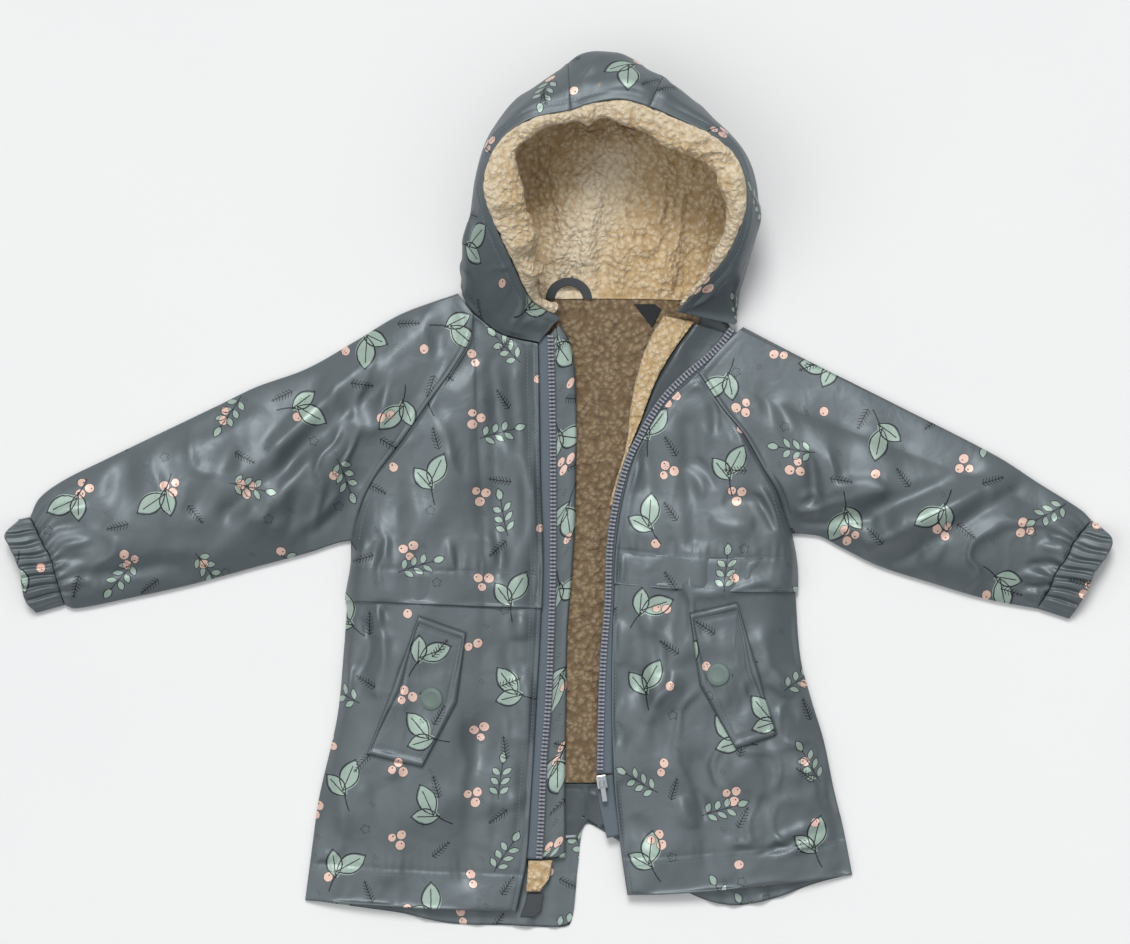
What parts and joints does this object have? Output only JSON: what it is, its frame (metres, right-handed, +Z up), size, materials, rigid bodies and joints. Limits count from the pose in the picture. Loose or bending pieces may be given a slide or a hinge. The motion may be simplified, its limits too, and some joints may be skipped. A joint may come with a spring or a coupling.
{
  "type": "parka",
  "caption": "Child's hooded raglan parka of printed coated cloth with a pile lining, laid flat on its back, zip open, arms spread.",
  "frame": {"origin": "middle of the bounding box, on the surface that the parka lies on", "axes": "+X across the laid coat towards the right-hand sleeve in the picture, +Y from the hem towards the hood, +Z up from the surface"},
  "size_m": [0.9544, 0.7472, 0.0993],
  "materials": {
    "cloth": "satin polyurethane-coated cloth with a small print",
    "dark_cloth": "the same coated cloth, its shaded inner side",
    "pile": "cream-tan nubbly pile",
    "zip_tape": "woven polyester tape with moulded teeth",
    "zip_metal": "grey lacquered die-cast metal",
    "snap_cap": "matt grey-green lacquer",
    "loop_tape": "ribbed woven tape",
    "label": "plain woven, blank"
  },
  "bodies": {
    "coat": {"back": "cloth", "back_lining": "pile", "hem_facing": "dark_cloth", "yoke_left": "cloth", "yoke_right": "cloth", "front_left": "cloth", "front_right": "cloth", "sleeve_left": "cloth", "sleeve_right": "cloth", "cuff_left": "cloth", "cuff_right": "cloth", "hood_left": "cloth", "hood_center": "cloth", "hood_right": "cloth", "lining_hood_left": "pile", "lining_hood_center": "pile", "lining_hood_right": "pile", "facing_left": "dark_cloth", "facing_right": "dark_cloth", "lining_strip": "pile", "zip_tape_left": "zip_tape", "zip_tape_right": "zip_tape", "zip_tape_tail": "zip_tape", "zip_slider": "zip_metal", "pocket_flap_left": "cloth", "pocket_flap_right": "cloth", "snap_left": "snap_cap", "snap_right": "snap_cap", "hanger_loop": "loop_tape", "neck_label": "label", "zip_patch": "pile", "hem_tab": "zip_tape"},
    "pull": {"zip_pull": "zip_metal"}
  },
  "joints": [
    {"name": "pull_hinge", "type": "hinge", "parent": "coat", "child": "pull", "pos_m": [0.03738, -0.24733, 0.01858], "axis": [-0.9877, -0.1564, 0], "range_deg": [0, 165]}
  ]
}
